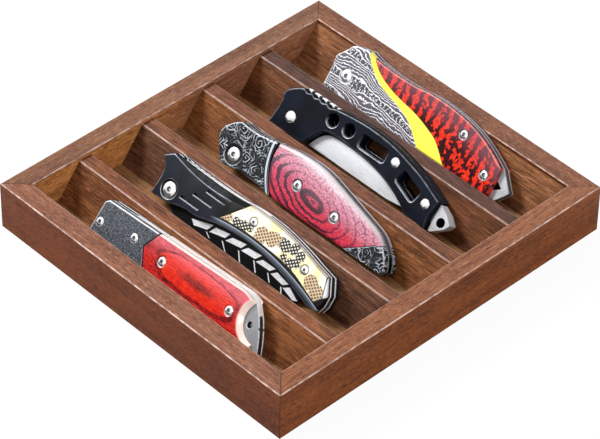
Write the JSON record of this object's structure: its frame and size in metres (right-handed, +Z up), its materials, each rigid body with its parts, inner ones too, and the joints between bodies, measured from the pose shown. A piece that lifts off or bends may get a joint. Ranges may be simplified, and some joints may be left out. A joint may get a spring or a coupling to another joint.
{
  "type": "pocket knife display tray",
  "caption": "Shallow mitred wooden tray with sloping slots between bevelled dividers, displaying closed folding knives that lift out and open.",
  "frame": {"origin": "middle of the tray's flat underside", "axes": "+X across the slots, towards the rear ramp; +Y along the slots, towards the knives' heads; +Z up"},
  "size_m": [0.2, 0.1864, 0.0346],
  "materials": {
    "walnut_rail": "oiled dark walnut, fine lengthwise grain",
    "walnut_ramp": "oiled dark walnut with a satin sheen",
    "walnut_panel": "lighter oiled walnut",
    "stonewashed_steel": "dark stonewashed, fine speckle",
    "red_laminate": "polished red laminate with dark grain",
    "satin_steel": "satin ground",
    "bright_steel": "polished",
    "black_coating": "matte black coating",
    "snakeskin_inlay": "cream with a scaly black and brown pattern, polished",
    "engraved_steel": "scroll engraved, darkened ground",
    "ringed_laminate": "polished red with dark growth rings",
    "blue_black_frame": "satin blue-black coating",
    "white_blade_steel": "bright satin",
    "patterned_steel": "folded steel pattern, light lines on dark",
    "yellow_stripe": "bright yellow, glossy",
    "mottled_resin": "red and black mottled resin, polished"
  },
  "bodies": {
    "tray": {"rail_front": "walnut_rail", "rail_back": "walnut_rail", "rail_left": "walnut_rail", "rail_right": "walnut_rail", "bottom_panel": "walnut_panel", "divider_1": "walnut_ramp", "divider_2": "walnut_ramp", "divider_3": "walnut_ramp", "divider_4": "walnut_ramp", "rear_ramp": "walnut_ramp"},
    "knife1": {"knife1_bolster_front": "stonewashed_steel", "knife1_bolster_back": "stonewashed_steel", "knife1_scale_front": "red_laminate", "knife1_scale_back": "red_laminate", "knife1_liner_front": "satin_steel", "knife1_liner_back": "satin_steel", "knife1_spine_bar": "satin_steel", "knife1_pivot_pin": "bright_steel", "knife1_screws": "bright_steel"},
    "blade1": {"knife1_blade": "satin_steel"},
    "knife2": {"knife2_frame_front": "black_coating", "knife2_frame_back": "black_coating", "knife2_inlay": "snakeskin_inlay", "knife2_liner_front": "satin_steel", "knife2_liner_back": "satin_steel", "knife2_spine_bar": "satin_steel", "knife2_pivot_screw": "bright_steel", "knife2_screws": "bright_steel"},
    "blade2": {"knife2_blade": "black_coating"},
    "knife3": {"knife3_bolster_front": "engraved_steel", "knife3_bolster_back": "engraved_steel", "knife3_tail_cap_front": "engraved_steel", "knife3_tail_cap_back": "engraved_steel", "knife3_scale_front": "ringed_laminate", "knife3_scale_back": "ringed_laminate", "knife3_liner_front": "satin_steel", "knife3_liner_back": "satin_steel", "knife3_spine_bar": "satin_steel", "knife3_pivot_screw": "bright_steel", "knife3_screws": "bright_steel"},
    "blade3": {"knife3_blade": "satin_steel"},
    "knife4": {"knife4_frame_front": "blue_black_frame", "knife4_frame_back": "blue_black_frame", "knife4_thumb_rest": "satin_steel", "knife4_back_spacer": "black_coating", "knife4_tail_plate": "satin_steel", "knife4_pivot_rivet": "bright_steel", "knife4_rivets": "bright_steel"},
    "blade4": {"knife4_blade": "white_blade_steel"},
    "knife5": {"knife5_bolster_front": "patterned_steel", "knife5_bolster_back": "patterned_steel", "knife5_stripe": "yellow_stripe", "knife5_scale_front": "mottled_resin", "knife5_scale_back": "mottled_resin", "knife5_liner_front": "satin_steel", "knife5_liner_back": "satin_steel", "knife5_spine_bar": "satin_steel", "knife5_pivot_screw": "bright_steel", "knife5_screws": "bright_steel"},
    "blade5": {"knife5_blade": "satin_steel"}
  },
  "joints": [
    {"name": "knife1_lift", "type": "slide", "parent": "tray", "child": "knife1", "axis": [0.6225, 0, 0.7826], "range_m": [0, 0.3]},
    {"name": "knife1_blade_pivot", "type": "hinge", "parent": "knife1", "child": "blade1", "pos_m": [-0.07349, 0.04105, 0.01816], "axis": [0.7826, 0, -0.6225], "range_deg": [0, 180]},
    {"name": "knife2_lift", "type": "slide", "parent": "tray", "child": "knife2", "axis": [0.6225, 0, 0.7826], "range_m": [0, 0.3]},
    {"name": "knife2_blade_pivot", "type": "hinge", "parent": "knife2", "child": "blade2", "pos_m": [-0.03661, 0.04455, 0.01613], "axis": [0.7826, 0, -0.6225], "range_deg": [0, 180]},
    {"name": "knife3_lift", "type": "slide", "parent": "tray", "child": "knife3", "axis": [0.6225, 0, 0.7826], "range_m": [0, 0.3]},
    {"name": "knife3_blade_pivot", "type": "hinge", "parent": "knife3", "child": "blade3", "pos_m": [0.00134, 0.04255, 0.01644], "axis": [0.7826, 0, -0.6225], "range_deg": [0, 180]},
    {"name": "knife4_lift", "type": "slide", "parent": "tray", "child": "knife4", "axis": [0.6225, 0, 0.7826], "range_m": [0, 0.3]},
    {"name": "knife4_blade_pivot", "type": "hinge", "parent": "knife4", "child": "blade4", "pos_m": [0.03873, 0.04345, 0.01706], "axis": [0.7826, 0, -0.6225], "range_deg": [0, 180]},
    {"name": "knife5_lift", "type": "slide", "parent": "tray", "child": "knife5", "axis": [0.6225, 0, 0.7826], "range_m": [0, 0.3]},
    {"name": "knife5_blade_pivot", "type": "hinge", "parent": "knife5", "child": "blade5", "pos_m": [0.07705, 0.04615, 0.0191], "axis": [0.7826, 0, -0.6225], "range_deg": [0, 180]}
  ],
  "couplings": [
    {"joint": "knife1_blade_pivot", "follows": "knife1_lift", "rad_per_m": 10.47},
    {"joint": "knife2_blade_pivot", "follows": "knife2_lift", "rad_per_m": 10.47},
    {"joint": "knife3_blade_pivot", "follows": "knife3_lift", "rad_per_m": 10.47},
    {"joint": "knife4_blade_pivot", "follows": "knife4_lift", "rad_per_m": 10.47},
    {"joint": "knife5_blade_pivot", "follows": "knife5_lift", "rad_per_m": 10.47}
  ]
}
